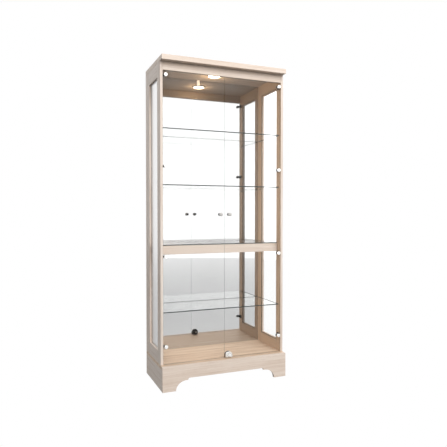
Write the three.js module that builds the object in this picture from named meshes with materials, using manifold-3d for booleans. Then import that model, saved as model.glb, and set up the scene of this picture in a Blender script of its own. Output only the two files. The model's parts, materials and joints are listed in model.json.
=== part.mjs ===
// Display case: a tall limed-oak cabinet with a mirrored back, glazed sides, two
// frameless glass doors, three loose glass shelves and one shelf on a wooden frame.
// Millimetres, +Z up. The front faces -Y, and +X is on the viewer's right.
// The origin is on the floor, under the middle of the case.

import * as THREE from 'three';
import { ConvexGeometry } from 'three/addons/geometries/ConvexGeometry.js';
import { mergeVertices } from 'three/addons/utils/BufferGeometryUtils.js';
import Module from 'manifold-3d';

const wasm = await Module();
wasm.setup();

// ---------------------------------------------------------------- driving sizes

const CASE_WIDTH = 820;
const CASE_DEPTH = 400;
const CASE_HEIGHT = 1980;
const OVERHANG = 40; // cornice and base stand this far in front of the side frames
const FIT_GAP = 0.3; // between pieces that are glued, screwed or laid together
const EASE = 1; // chamfer on the edges of boards
const GLASS_EASE = 0.6; // chamfer on ground glass edges
const ROUND_SEGMENTS = 24; // round a turned piece or a hole
const LAMP_SEGMENTS = 32;
const CURVE_SEGMENTS = 12; // along each curve of a sawn outline
const CROWN_STEPS = [0, 1, 2, 3, 4]; // from the middle of a knob's crown to its rim

// cornice, frieze and base
const CORNICE_THICKNESS = 30;
const FRIEZE_HEIGHT = 51;
const FRIEZE_THICKNESS = 16;
const BASE_HEIGHT = 150;
const FLOOR_THICKNESS = 20;
const BASE_BOARD_THICKNESS = 18;
const FOOT_WIDTH = 83; // of a bracket foot, at the floor
const ARCH_WIDTH = 65; // quarter ellipse beside the foot
const ARCH_HEIGHT = 58;
const ARCH_FLAT = 10;
const COVE_RADIUS = 12; // quarter round between the flat and the apron

// side frames and their panes
const SIDE_THICKNESS = 16;
const FRONT_STILE_DEPTH = 68;
const BACK_STILE_DEPTH = 92;
const TOP_RAIL_HEIGHT = 82;
const BOTTOM_RAIL_HEIGHT = 75;
const PANE_THICKNESS = 4;
const PANE_LAP = 8; // the pane runs this far behind the frame all round

// back
const BACK_RECESS = 20; // free space behind the back panel
const BACK_PANEL_THICKNESS = 6;
const MIRROR_THICKNESS = 4;
const BACK_RAIL_HEIGHT = 80;
const BACK_RAIL_THICKNESS = 16;

// shelves, measured from the case floor to the top of the glass
const SHELF_THICKNESS = 6;
const SHELF_SETBACK = 25; // front edge, behind the front of the side frames
const SHELF_CLEARANCE = 2; // to the side frames
const SHELF_BACK_GAP = 5; // to the mirror
const LOOSE_SHELF_HEIGHTS = { lower: 311, upper: 1078.5, top: 1416.5 };
const MIDDLE_SHELF_HEIGHT = 714.3;
const MIDDLE_RAIL_HEIGHT = 53;
const MIDDLE_RAIL_THICKNESS = 18;
const MIDDLE_RAIL_SETBACK = 50;
const CLEAT_HEIGHT = 30;
const CLEAT_THICKNESS = 12;

// doors
const DOOR_THICKNESS = 5;
const DOOR_RECESS = 2; // glass front, behind the front of the side frames
const DOOR_SIDE_GAP = 2;
const DOOR_MEETING_GAP = 2;
const DOOR_END_GAP = 3;

// hinges: a cap and a cup clamped through the glass, and a bracket on the side frame
const HINGE_COUNT = 4;
const HINGE_TOP_INSET = 24;
const HINGE_BOTTOM_INSET = 106;
const CAP_RADIUS = 11;
const CAP_PROJECTION = 13;
const CAP_EDGE_RADIUS = 2;
const CAP_FROM_FRAME = 17;
const CLAMP_STEM_RADIUS = 5;
const HOLE_CLEARANCE = 0.5; // between a hole in glass and what passes through it
const CUP_LENGTH = 22;
const CUP_HEIGHT = 14;
const CUP_DEPTH = 8;
const BRACKET_BEHIND_CUP = 1.7;
const BRACKET_ARM_DEPTH = 9;
const BRACKET_ARM_HEIGHT = 12;
const BRACKET_PLATE_THICKNESS = 4;
const BRACKET_PLATE_HEIGHT = 22;
const BRACKET_PLATE_LENGTH = 30;
const BRACKET_PLATE_SETBACK = 12; // plate front, behind the front of the side frame

// knobs
const KNOB_RADIUS = 11;
const KNOB_PROJECTION = 25;
const KNOB_HEAD_THICKNESS = 12;
const KNOB_TAPER_RADIUS = 9.35; // of the head, where it turns in towards the neck
const KNOB_NECK_RADIUS = 4.5;
const KNOB_FOOT_RADIUS = 7;
const KNOB_FOOT_THICKNESS = 3;
const KNOB_SCREW_RADIUS = 2.5;
const KNOB_SCREW_REACH = 4; // into the nut behind the glass
const KNOB_NUT_RADIUS = 9;
const KNOB_NUT_THICKNESS = 6;
const KNOB_FROM_MIDDLE = 30;
const KNOB_HEIGHT = 895; // above the lower edge of the door

// lock, at the lower inner corner of the right door
const LOCK_WIDTH = 46;
const LOCK_HEIGHT = 37;
const LOCK_THICKNESS = 14;
const LOCK_FROM_DOOR_EDGE = 2;
const LOCK_ABOVE_DOOR_END = 1;
const LOCK_BACK_THICKNESS = 6;
const LOCK_PEG_RADIUS = 2.5;
const LOCK_PEG_REACH = 4; // into the back plate
const LOCK_PEG_PLACES = [[-4.5, 16], [16.5, 16]]; // right of the lock's middle, above its foot
const CYLINDER_FROM_MIDDLE = 6;
const CYLINDER_ABOVE_FOOT = 15;
const CYLINDER_RADIUS = 6;
const CYLINDER_PROUD = 1;
const CYLINDER_LENGTH = 12;
const TURNING_CLEARANCE = 0.3;
const KEYWAY_WIDTH = 1.6;
const KEYWAY_HEIGHT = 8;
const KEYWAY_DEPTH = 6;
const TAIL_RADIUS = 3;
const CAM_BEHIND_PLATE = 4;
const CAM_THICKNESS = 2.5;
const CAM_WIDTH = 9;
const CAM_REACH = 12.5;
const CAM_HEEL = 5;
const STRIKE_WIDTH = 17;
const STRIKE_THICKNESS = 2;
const STRIKE_BELOW_CAM = 2; // when the lock is open
const STRIKE_FOOT_LENGTH = 12;
const STRIKE_FOOT_THICKNESS = 1.5;
const STRIKE_IN_FRONT_OF_CAM = 1;

// lamp in the ceiling, and the cover over its lead on the mirror
const LAMP_RADIUS = 42;
const LAMP_HEIGHT = 7;
const LAMP_RIM = 4;
const LAMP_LENS_THICKNESS = 2.4;
const LAMP_BEHIND_MIDDLE = 18;
const LEAD_COVER_WIDTH = 16;
const LEAD_COVER_HEIGHT = 35;
const LEAD_COVER_THICKNESS = 7;
const LEAD_COVER_FROM_MIDDLE = 58;

// ---------------------------------------------------------------- shared places

const HALF_WIDTH = CASE_WIDTH / 2;
const INNER_HALF = HALF_WIDTH - SIDE_THICKNESS;
const CASE_FRONT = -CASE_DEPTH / 2;
const CASE_BACK = CASE_DEPTH / 2;
const FRAME_FRONT = CASE_FRONT + OVERHANG;
const CEILING = CASE_HEIGHT - CORNICE_THICKNESS;
const FLOOR = BASE_HEIGHT;
const FLOOR_UNDERSIDE = FLOOR - FLOOR_THICKNESS;
const FRAME_SPAN_Z = [FLOOR + FIT_GAP, CEILING - FIT_GAP];
const OPENING_Y = [FRAME_FRONT + FRONT_STILE_DEPTH, CASE_BACK - BACK_STILE_DEPTH];
const OPENING_Z = [FLOOR + BOTTOM_RAIL_HEIGHT, CEILING - TOP_RAIL_HEIGHT];
const FRIEZE_BOTTOM = CEILING - FRIEZE_HEIGHT;
const BACK_PANEL_Y = [CASE_BACK - BACK_RECESS - BACK_PANEL_THICKNESS, CASE_BACK - BACK_RECESS];
const MIRROR_BACK = BACK_PANEL_Y[0] - FIT_GAP;
const MIRROR_FRONT = MIRROR_BACK - MIRROR_THICKNESS;
const SHELF_BACK = MIRROR_FRONT - SHELF_BACK_GAP;
const SHELF_HALF = INNER_HALF - SHELF_CLEARANCE;

const DOOR_Z = [FLOOR + DOOR_END_GAP, FRIEZE_BOTTOM - DOOR_END_GAP];
const DOOR_FRONT = FRAME_FRONT + DOOR_RECESS;
const DOOR_BACK = DOOR_FRONT + DOOR_THICKNESS;
const DOOR_INNER_EDGE = DOOR_MEETING_GAP / 2;
const DOOR_HINGE_EDGE = INNER_HALF - DOOR_SIDE_GAP;
const KNOB_Z = DOOR_Z[0] + KNOB_HEIGHT;

const LOCK_LEFT = DOOR_INNER_EDGE + LOCK_FROM_DOOR_EDGE;
const LOCK_CENTRE_X = LOCK_LEFT + LOCK_WIDTH / 2;
const LOCK_BOTTOM = DOOR_Z[0] + LOCK_ABOVE_DOOR_END;
const LOCK_CENTRE_Z = LOCK_BOTTOM + LOCK_HEIGHT - LOCK_WIDTH / 2;
const CYLINDER_X = LOCK_CENTRE_X + CYLINDER_FROM_MIDDLE;
const CYLINDER_Z = LOCK_BOTTOM + CYLINDER_ABOVE_FOOT;
const LOCK_PEGS = LOCK_PEG_PLACES.map(([right, up]) => [LOCK_CENTRE_X + right, LOCK_BOTTOM + up]);
const LOCK_PLATE_BACK = DOOR_BACK + FIT_GAP + LOCK_BACK_THICKNESS;
const CAM_FRONT = LOCK_PLATE_BACK + CAM_BEHIND_PLATE;

// ---------------------------------------------------------------- materials

const FINISHES = {
  oak: { color: 0xe3d3c4, roughness: 0.55, metalness: 0 },
  panel: { color: 0xb79f88, roughness: 0.8, metalness: 0 },
  glass: { color: 0xdfeae6, roughness: 0.05, metalness: 0, transparent: true, opacity: 0.35 },
  mirror: { color: 0xf2f4f5, roughness: 0.02, metalness: 1 },
  bright_metal: { color: 0xe8e8e6, roughness: 0.2, metalness: 1 },
  nickel: { color: 0xc9c4bb, roughness: 0.3, metalness: 1 },
  black_metal: { color: 0x181614, roughness: 0.45, metalness: 0.3 },
  white_plastic: { color: 0xf2efe9, roughness: 0.4, metalness: 0 },
  lamp_lens: { color: 0xfff1d6, roughness: 0.3, metalness: 0 },
};

// ---------------------------------------------------------------- solid helpers

// A closed mesh as a manifold solid, with its shared vertices merged.
function solid(geometry) {
  const bare = geometry.index ? geometry.toNonIndexed() : geometry.clone();
  bare.deleteAttribute('normal');
  bare.deleteAttribute('uv');
  const merged = mergeVertices(bare, 1e-4);
  return new wasm.Manifold(new wasm.Mesh({
    numProp: 3,
    vertProperties: new Float32Array(merged.attributes.position.array),
    triVerts: new Uint32Array(merged.index.array),
  }));
}

function geometryOf(manifold) {
  const mesh = manifold.getMesh();
  const points = new Float32Array(mesh.vertProperties);
  const geometry = new THREE.BufferGeometry();
  geometry.setAttribute('position', new THREE.BufferAttribute(points, 3));
  geometry.setIndex(new THREE.BufferAttribute(new Uint32Array(mesh.triVerts), 1));
  return geometry;
}

function join(first, ...others) {
  return geometryOf(others.reduce((sum, part) => sum.add(solid(part)), solid(first)));
}

function cut(body, ...tools) {
  return geometryOf(tools.reduce((rest, tool) => rest.subtract(solid(tool)), solid(body)));
}

// A board between two corners, given as two ends along each axis, with every edge chamfered.
function board(xEnds, yEnds, zEnds, ease = EASE) {
  const points = [];
  for (const end of [0, 1, 2, 3, 4, 5, 6, 7]) {
    const corner = [xEnds[end & 1], yEnds[(end >> 1) & 1], zEnds[(end >> 2) & 1]];
    const middle = [xEnds, yEnds, zEnds].map(([low, high]) => (low + high) / 2);
    const pulled = corner.map((value, axis) => value + ease * Math.sign(middle[axis] - value));
    for (const axis of [0, 1, 2]) {
      const point = [...pulled];
      point[axis] = corner[axis];
      points.push(new THREE.Vector3(...point));
    }
  }
  return new ConvexGeometry(points);
}

// A sharp-edged block between two corners, used as a cutter.
function cutter(xEnds, yEnds, zEnds) {
  const ends = [xEnds, yEnds, zEnds];
  const size = ends.map(([a, b]) => Math.abs(b - a));
  const middle = ends.map(([a, b]) => (a + b) / 2);
  return new THREE.BoxGeometry(...size).translate(...middle);
}

// A round bar along Y between y0 and y1, centred on x and z.
function barY(radius, [y0, y1], x, z) {
  const bar = new THREE.CylinderGeometry(radius, radius, y1 - y0, ROUND_SEGMENTS);
  return bar.translate(x, (y0 + y1) / 2, z);
}

// A profile of [radius, distance] points turned about a line along Y.
function turnedY(profile, x, z, segments = ROUND_SEGMENTS) {
  const points = profile.map(([radius, y]) => new THREE.Vector2(radius, y));
  return new THREE.LatheGeometry(points, segments).translate(x, 0, z);
}

// An outline drawn in X and Z, carried along Y from y0 to y1.
function slabY(shape, [y0, y1]) {
  const settings = { depth: y1 - y0, bevelEnabled: false, curveSegments: CURVE_SEGMENTS };
  return new THREE.ExtrudeGeometry(shape, settings).rotateX(Math.PI / 2).translate(0, y1, 0);
}

const displayCase = new THREE.Group();

function addPiece(name, geometry, finish) {
  const mesh = new THREE.Mesh(geometry, new THREE.MeshStandardMaterial({ ...FINISHES[finish] }));
  mesh.name = name;
  displayCase.add(mesh);
}

// Both hands of the case: the name of the side, and the sign of X on it.
const SIDES = [['left', -1], ['right', 1]];

// ---------------------------------------------------------------- top and base

function addTop() {
  const full = [-HALF_WIDTH, HALF_WIDTH];
  addPiece('cornice', board(full, [CASE_FRONT, CASE_BACK], [CEILING, CASE_HEIGHT]), 'oak');
  const between = [-INNER_HALF + FIT_GAP, INNER_HALF - FIT_GAP];
  const friezeY = [FRAME_FRONT, FRAME_FRONT + FRIEZE_THICKNESS];
  addPiece('frieze_rail', board(between, friezeY, [FRIEZE_BOTTOM, CEILING - FIT_GAP]), 'oak');
}

// The front board of the base: two bracket feet and a raised apron between them.
function baseFrontOutline() {
  const footInner = HALF_WIDTH - FOOT_WIDTH;
  const archEnd = footInner - ARCH_WIDTH;
  const coveStart = archEnd - ARCH_FLAT;
  const outline = new THREE.Shape();
  outline.moveTo(-HALF_WIDTH, BASE_HEIGHT);
  outline.lineTo(-HALF_WIDTH, 0);
  outline.lineTo(-footInner, 0);
  outline.absellipse(-archEnd, 0, ARCH_WIDTH, ARCH_HEIGHT, Math.PI, Math.PI / 2, true);
  outline.lineTo(-coveStart, ARCH_HEIGHT);
  outline.absarc(-coveStart + COVE_RADIUS, ARCH_HEIGHT, COVE_RADIUS, Math.PI, Math.PI / 2, true);
  outline.absarc(coveStart - COVE_RADIUS, ARCH_HEIGHT, COVE_RADIUS, Math.PI / 2, 0, true);
  outline.lineTo(archEnd, ARCH_HEIGHT);
  outline.absellipse(archEnd, 0, ARCH_WIDTH, ARCH_HEIGHT, Math.PI / 2, 0, true);
  outline.lineTo(HALF_WIDTH, 0);
  outline.lineTo(HALF_WIDTH, BASE_HEIGHT);
  outline.closePath();
  return outline;
}

function addBase() {
  const frontY = [CASE_FRONT, CASE_FRONT + BASE_BOARD_THICKNESS];
  addPiece('base_front', slabY(baseFrontOutline(), frontY), 'oak');
  const full = [-HALF_WIDTH, HALF_WIDTH];
  const behindFront = frontY[1] + FIT_GAP;
  addPiece('case_floor', board(full, [behindFront, CASE_BACK], [FLOOR_UNDERSIDE, FLOOR]), 'oak');
  const boardZ = [0, FLOOR_UNDERSIDE - FIT_GAP];
  const backY = [CASE_BACK - BASE_BOARD_THICKNESS, CASE_BACK];
  addPiece('base_back', board(full, backY, boardZ), 'oak');
  for (const [side, sign] of SIDES) {
    const x = [sign * (HALF_WIDTH - BASE_BOARD_THICKNESS), sign * HALF_WIDTH];
    addPiece(`base_${side}`, board(x, [behindFront, backY[0] - FIT_GAP], boardZ), 'oak');
  }
}

// ---------------------------------------------------------------- side frames

function addSideFrames() {
  const paneY = [OPENING_Y[0] - PANE_LAP, OPENING_Y[1] + PANE_LAP];
  const paneZ = [OPENING_Z[0] - PANE_LAP, OPENING_Z[1] + PANE_LAP];
  for (const [side, sign] of SIDES) {
    const x = [sign * INNER_HALF, sign * HALF_WIDTH];
    const paneX = [sign * INNER_HALF, sign * (INNER_HALF + PANE_THICKNESS)];
    const rebate = cutter(
      [sign * (INNER_HALF - EASE), sign * (INNER_HALF + PANE_THICKNESS + FIT_GAP)],
      [paneY[0] - FIT_GAP, paneY[1] + FIT_GAP],
      [paneZ[0] - FIT_GAP, paneZ[1] + FIT_GAP],
    );
    const railY = [OPENING_Y[0] + FIT_GAP, OPENING_Y[1] - FIT_GAP];
    const members = {
      front_stile: board(x, [FRAME_FRONT, OPENING_Y[0]], FRAME_SPAN_Z),
      back_stile: board(x, [OPENING_Y[1], CASE_BACK], FRAME_SPAN_Z),
      top_rail: board(x, railY, [OPENING_Z[1], FRAME_SPAN_Z[1]]),
      bottom_rail: board(x, railY, [FRAME_SPAN_Z[0], OPENING_Z[0]]),
    };
    for (const [member, geometry] of Object.entries(members)) {
      addPiece(`${side}_${member}`, cut(geometry, rebate), 'oak');
    }
    addPiece(`${side}_pane`, board(paneX, paneY, paneZ, GLASS_EASE), 'glass');
  }
}

// ---------------------------------------------------------------- back

function addBack() {
  const panelX = [-INNER_HALF + FIT_GAP, INNER_HALF - FIT_GAP];
  addPiece('back_panel', board(panelX, BACK_PANEL_Y, FRAME_SPAN_Z), 'panel');
  addPiece('mirror', board(panelX, [MIRROR_FRONT, MIRROR_BACK], FRAME_SPAN_Z, GLASS_EASE), 'mirror');
  const railFront = BACK_PANEL_Y[1] + FIT_GAP;
  const railY = [railFront, railFront + BACK_RAIL_THICKNESS];
  const [low, high] = FRAME_SPAN_Z;
  addPiece('back_rail_bottom', board(panelX, railY, [low, low + BACK_RAIL_HEIGHT]), 'oak');
  addPiece('back_rail_top', board(panelX, railY, [high - BACK_RAIL_HEIGHT, high]), 'oak');
}

// ---------------------------------------------------------------- shelves

function addShelves() {
  const shelfX = [-SHELF_HALF, SHELF_HALF];
  const shelfY = [FRAME_FRONT + SHELF_SETBACK, SHELF_BACK];
  for (const [place, height] of Object.entries(LOOSE_SHELF_HEIGHTS)) {
    const z = [FLOOR + height - SHELF_THICKNESS, FLOOR + height];
    addPiece(`${place}_shelf`, board(shelfX, shelfY, z, GLASS_EASE), 'glass');
  }
  const glassZ = [FLOOR + MIDDLE_SHELF_HEIGHT - SHELF_THICKNESS, FLOOR + MIDDLE_SHELF_HEIGHT];
  const railTop = glassZ[0] - FIT_GAP;
  const railFront = FRAME_FRONT + MIDDLE_RAIL_SETBACK;
  const railY = [railFront, railFront + MIDDLE_RAIL_THICKNESS];
  const railX = [-INNER_HALF + FIT_GAP, INNER_HALF - FIT_GAP];
  addPiece('middle_shelf', board(shelfX, [railFront, SHELF_BACK], glassZ, GLASS_EASE), 'glass');
  addPiece('middle_rail', board(railX, railY, [railTop - MIDDLE_RAIL_HEIGHT, railTop]), 'oak');
  for (const [side, sign] of SIDES) {
    const outer = INNER_HALF - FIT_GAP;
    const x = [sign * (outer - CLEAT_THICKNESS), sign * outer];
    const cleatY = [railY[1] + FIT_GAP, SHELF_BACK];
    addPiece(`middle_cleat_${side}`, board(x, cleatY, [railTop - CLEAT_HEIGHT, railTop]), 'oak');
  }
}

// ---------------------------------------------------------------- hinges

function hingeHeights() {
  const low = DOOR_Z[0] + HINGE_BOTTOM_INSET;
  const high = DOOR_Z[1] - HINGE_TOP_INSET;
  const step = (high - low) / (HINGE_COUNT - 1);
  return Array.from({ length: HINGE_COUNT }, (_, index) => high - index * step);
}

// The half on the door, in one piece: outer cap, stem through the glass, inner cup.
function hingeCap(x, z) {
  const front = DOOR_FRONT - CAP_PROJECTION;
  const capBack = DOOR_FRONT - FIT_GAP;
  const cupFront = DOOR_BACK + FIT_GAP;
  const halfTurned = CAP_EDGE_RADIUS * (1 - Math.SQRT1_2);
  const turned = turnedY([
    [0, front],
    [CAP_RADIUS - CAP_EDGE_RADIUS, front],
    [CAP_RADIUS - halfTurned, front + halfTurned],
    [CAP_RADIUS, front + CAP_EDGE_RADIUS],
    [CAP_RADIUS, capBack],
    [CLAMP_STEM_RADIUS, capBack],
    [CLAMP_STEM_RADIUS, cupFront + CUP_DEPTH / 2],
    [0, cupFront + CUP_DEPTH / 2],
  ], x, z);
  const cupX = [x - CUP_LENGTH / 2, x + CUP_LENGTH / 2];
  const cupZ = [z - CUP_HEIGHT / 2, z + CUP_HEIGHT / 2];
  return join(turned, board(cupX, [cupFront, cupFront + CUP_DEPTH], cupZ));
}

// The half on the case: a plate on the side frame and an arm that reaches behind the cup,
// as far as the middle of the cap.
function hingeBracket(sign, z) {
  const plateOuter = INNER_HALF - FIT_GAP;
  const plateInner = plateOuter - BRACKET_PLATE_THICKNESS;
  const plateFront = FRAME_FRONT + BRACKET_PLATE_SETBACK;
  const plate = board(
    [sign * plateInner, sign * plateOuter],
    [plateFront, plateFront + BRACKET_PLATE_LENGTH],
    [z - BRACKET_PLATE_HEIGHT / 2, z + BRACKET_PLATE_HEIGHT / 2],
  );
  const armFront = DOOR_BACK + FIT_GAP + CUP_DEPTH + BRACKET_BEHIND_CUP;
  const arm = board(
    [sign * (INNER_HALF - CAP_FROM_FRAME), sign * (plateInner + 2 * EASE)],
    [armFront, armFront + BRACKET_ARM_DEPTH],
    [z - BRACKET_ARM_HEIGHT / 2, z + BRACKET_ARM_HEIGHT / 2],
  );
  return join(plate, arm);
}

function addHinges() {
  for (const [side, sign] of SIDES) {
    hingeHeights().forEach((z, index) => {
      const x = sign * (INNER_HALF - CAP_FROM_FRAME);
      addPiece(`${side}_hinge_cap_${index + 1}`, hingeCap(x, z), 'bright_metal');
      addPiece(`${side}_hinge_bracket_${index + 1}`, hingeBracket(sign, z), 'black_metal');
    });
  }
}

// ---------------------------------------------------------------- doors and knobs

function doorGlass(sign) {
  const through = [DOOR_FRONT - EASE, DOOR_BACK + EASE];
  const x = [sign * DOOR_INNER_EDGE, sign * DOOR_HINGE_EDGE];
  const stemHole = CLAMP_STEM_RADIUS + HOLE_CLEARANCE;
  const holes = hingeHeights().map((z) => barY(stemHole, through, sign * (INNER_HALF - CAP_FROM_FRAME), z));
  holes.push(barY(KNOB_SCREW_RADIUS + HOLE_CLEARANCE, through, sign * KNOB_FROM_MIDDLE, KNOB_Z));
  if (sign > 0) {
    holes.push(barY(TAIL_RADIUS + HOLE_CLEARANCE, through, CYLINDER_X, CYLINDER_Z));
    const pegHole = LOCK_PEG_RADIUS + HOLE_CLEARANCE;
    holes.push(...LOCK_PEGS.map(([x, z]) => barY(pegHole, through, x, z)));
  }
  return cut(board(x, [DOOR_FRONT, DOOR_BACK], DOOR_Z, GLASS_EASE), ...holes);
}

// A turned knob on a threaded shank, from the crown of its head to the end of the shank.
function knob(x) {
  const crown = DOOR_FRONT - KNOB_PROJECTION;
  const headBack = crown + KNOB_HEAD_THICKNESS;
  const footBack = DOOR_FRONT - FIT_GAP;
  const shankEnd = DOOR_BACK + FIT_GAP + KNOB_SCREW_REACH;
  const curve = CROWN_STEPS.map((step) => {
    const angle = (step / CROWN_STEPS.at(-1)) * (Math.PI / 2);
    return [
      KNOB_RADIUS * Math.sin(angle),
      crown + (KNOB_HEAD_THICKNESS / 2) * (1 - Math.cos(angle)),
    ];
  });
  return turnedY([
    ...curve,
    [KNOB_TAPER_RADIUS, headBack - EASE],
    [KNOB_NECK_RADIUS, headBack + EASE],
    [KNOB_NECK_RADIUS, footBack - KNOB_FOOT_THICKNESS],
    [KNOB_FOOT_RADIUS, footBack - KNOB_FOOT_THICKNESS / 2],
    [KNOB_FOOT_RADIUS, footBack],
    [KNOB_SCREW_RADIUS, footBack],
    [KNOB_SCREW_RADIUS, shankEnd],
    [0, shankEnd],
  ], x, KNOB_Z);
}

// The nut behind the glass, with a blind bore that the shank screws into.
function knobNut(x) {
  const front = DOOR_BACK + FIT_GAP;
  const back = front + KNOB_NUT_THICKNESS;
  const bore = KNOB_SCREW_RADIUS + FIT_GAP;
  const boreEnd = front + KNOB_SCREW_REACH + FIT_GAP;
  return turnedY([
    [0, boreEnd],
    [bore, boreEnd],
    [bore, front],
    [KNOB_NUT_RADIUS, front],
    [KNOB_NUT_RADIUS, back - EASE],
    [KNOB_NUT_RADIUS - EASE, back],
    [0, back],
  ], x, KNOB_Z);
}

function addDoors() {
  for (const [side, sign] of SIDES) {
    addPiece(`${side}_door_glass`, doorGlass(sign), 'glass');
    addPiece(`${side}_knob`, knob(sign * KNOB_FROM_MIDDLE), 'nickel');
    addPiece(`${side}_knob_nut`, knobNut(sign * KNOB_FROM_MIDDLE), 'black_metal');
  }
}

// ---------------------------------------------------------------- lock

// The outline of the lock: a flat foot and a half-round top.
function lockOutline() {
  const radius = LOCK_WIDTH / 2;
  const outline = new THREE.Shape();
  outline.moveTo(LOCK_LEFT, LOCK_BOTTOM);
  outline.lineTo(LOCK_LEFT + LOCK_WIDTH, LOCK_BOTTOM);
  outline.absarc(LOCK_CENTRE_X, LOCK_CENTRE_Z, radius, 0, Math.PI, false);
  outline.closePath();
  return outline;
}

function addLock() {
  const bodyY = [DOOR_FRONT - LOCK_THICKNESS, DOOR_FRONT - FIT_GAP];
  const plateY = [DOOR_BACK + FIT_GAP, LOCK_PLATE_BACK];
  const cylinderY = [bodyY[0] - CYLINDER_PROUD, bodyY[0] - CYLINDER_PROUD + CYLINDER_LENGTH];
  const pegEnd = plateY[0] + LOCK_PEG_REACH;

  const boreRadius = CYLINDER_RADIUS + TURNING_CLEARANCE;
  const bore = barY(boreRadius, [bodyY[0] - EASE, bodyY[1] + EASE], CYLINDER_X, CYLINDER_Z);
  const pegBars = LOCK_PEGS.map(([x, z]) => barY(LOCK_PEG_RADIUS, [bodyY[1] - EASE, pegEnd], x, z));
  addPiece('lock_body', join(cut(slabY(lockOutline(), bodyY), bore), ...pegBars), 'nickel');

  const tailBore = TAIL_RADIUS + TURNING_CLEARANCE;
  const plateHoles = [barY(tailBore, [plateY[0] - EASE, plateY[1] + EASE], CYLINDER_X, CYLINDER_Z)];
  for (const [x, z] of LOCK_PEGS) {
    plateHoles.push(barY(LOCK_PEG_RADIUS + FIT_GAP, [plateY[0] - EASE, pegEnd + FIT_GAP], x, z));
  }
  addPiece('lock_back_plate', cut(slabY(lockOutline(), plateY), ...plateHoles), 'black_metal');

  const camY = [CAM_FRONT, CAM_FRONT + CAM_THICKNESS];
  const plug = barY(CYLINDER_RADIUS, cylinderY, CYLINDER_X, CYLINDER_Z);
  const tail = barY(TAIL_RADIUS, [cylinderY[1] - EASE, camY[1]], CYLINDER_X, CYLINDER_Z);
  const keyway = cutter(
    [CYLINDER_X - KEYWAY_WIDTH / 2, CYLINDER_X + KEYWAY_WIDTH / 2],
    [cylinderY[0] - EASE, cylinderY[0] + KEYWAY_DEPTH],
    [CYLINDER_Z - KEYWAY_HEIGHT / 2, CYLINDER_Z + KEYWAY_HEIGHT / 2],
  );
  addPiece('lock_cylinder', cut(join(plug, tail), keyway), 'bright_metal');

  const camBlank = board(
    [CYLINDER_X - CAM_REACH, CYLINDER_X + CAM_HEEL],
    camY,
    [CYLINDER_Z - CAM_WIDTH / 2, CYLINDER_Z + CAM_WIDTH / 2],
    CAM_THICKNESS / 4,
  );
  const camBore = barY(TAIL_RADIUS + FIT_GAP, [camY[0] - EASE, camY[1] + EASE], CYLINDER_X, CYLINDER_Z);
  addPiece('lock_cam', cut(camBlank, camBore), 'black_metal');

  const strikeBack = CAM_FRONT - STRIKE_IN_FRONT_OF_CAM;
  const strikeFront = strikeBack - STRIKE_THICKNESS;
  const strikeX = [CYLINDER_X - STRIKE_WIDTH / 2, CYLINDER_X + STRIKE_WIDTH / 2];
  const strikeBottom = FLOOR + FIT_GAP;
  const strikeTop = CYLINDER_Z - CAM_WIDTH / 2 - STRIKE_BELOW_CAM;
  const upright = cutter(strikeX, [strikeFront, strikeBack], [strikeBottom, strikeTop]);
  const foot = cutter(
    strikeX,
    [strikeBack - STRIKE_FOOT_LENGTH, strikeBack],
    [strikeBottom, strikeBottom + STRIKE_FOOT_THICKNESS],
  );
  addPiece('lock_strike', join(upright, foot), 'black_metal');
}

// ---------------------------------------------------------------- lamp

function addLamp() {
  const top = CEILING - FIT_GAP;
  const bottom = CEILING - LAMP_HEIGHT;
  const lensTop = bottom + FIT_GAP + LAMP_LENS_THICKNESS;
  const wellRadius = LAMP_RADIUS - LAMP_RIM;
  const turned = (profile) => {
    const upright = turnedY(profile, 0, 0, LAMP_SEGMENTS).rotateX(Math.PI / 2);
    return upright.translate(0, LAMP_BEHIND_MIDDLE, 0);
  };
  addPiece('lamp_housing', turned([
    [0, lensTop + FIT_GAP],
    [wellRadius, lensTop + FIT_GAP],
    [wellRadius, bottom],
    [LAMP_RADIUS - EASE, bottom],
    [LAMP_RADIUS, bottom + EASE],
    [LAMP_RADIUS, top],
    [0, top],
  ]), 'white_plastic');
  addPiece('lamp_lens', turned([
    [0, bottom + FIT_GAP],
    [wellRadius - FIT_GAP, bottom + FIT_GAP],
    [wellRadius - FIT_GAP, lensTop],
    [0, lensTop],
  ]), 'lamp_lens');

  const coverBack = MIRROR_FRONT - FIT_GAP;
  addPiece('lamp_lead_cover', board(
    [-LEAD_COVER_FROM_MIDDLE - LEAD_COVER_WIDTH / 2, -LEAD_COVER_FROM_MIDDLE + LEAD_COVER_WIDTH / 2],
    [coverBack - LEAD_COVER_THICKNESS, coverBack],
    [top - LEAD_COVER_HEIGHT, top],
  ), 'white_plastic');
}

// ---------------------------------------------------------------- the whole case

addTop();
addBase();
addSideFrames();
addBack();
addShelves();
addHinges();
addDoors();
addLock();
addLamp();

export default displayCase;
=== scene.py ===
# %% [markdown]
# # A glass-door display case
#
# A tall cabinet in limed oak: glazed sides, a mirrored back, two frameless glass doors on
# small hinges with bright covers, three loose glass shelves, and a middle shelf whose glass
# lies behind a wooden rail.
#
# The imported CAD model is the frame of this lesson. Its boards and panes are the right shape
# already, so they only get better finishes here. The small turned and rounded fittings are
# made again with fine surfaces, in the places that the CAD model gives.

# %% Load the frame
import json
import math

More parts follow.
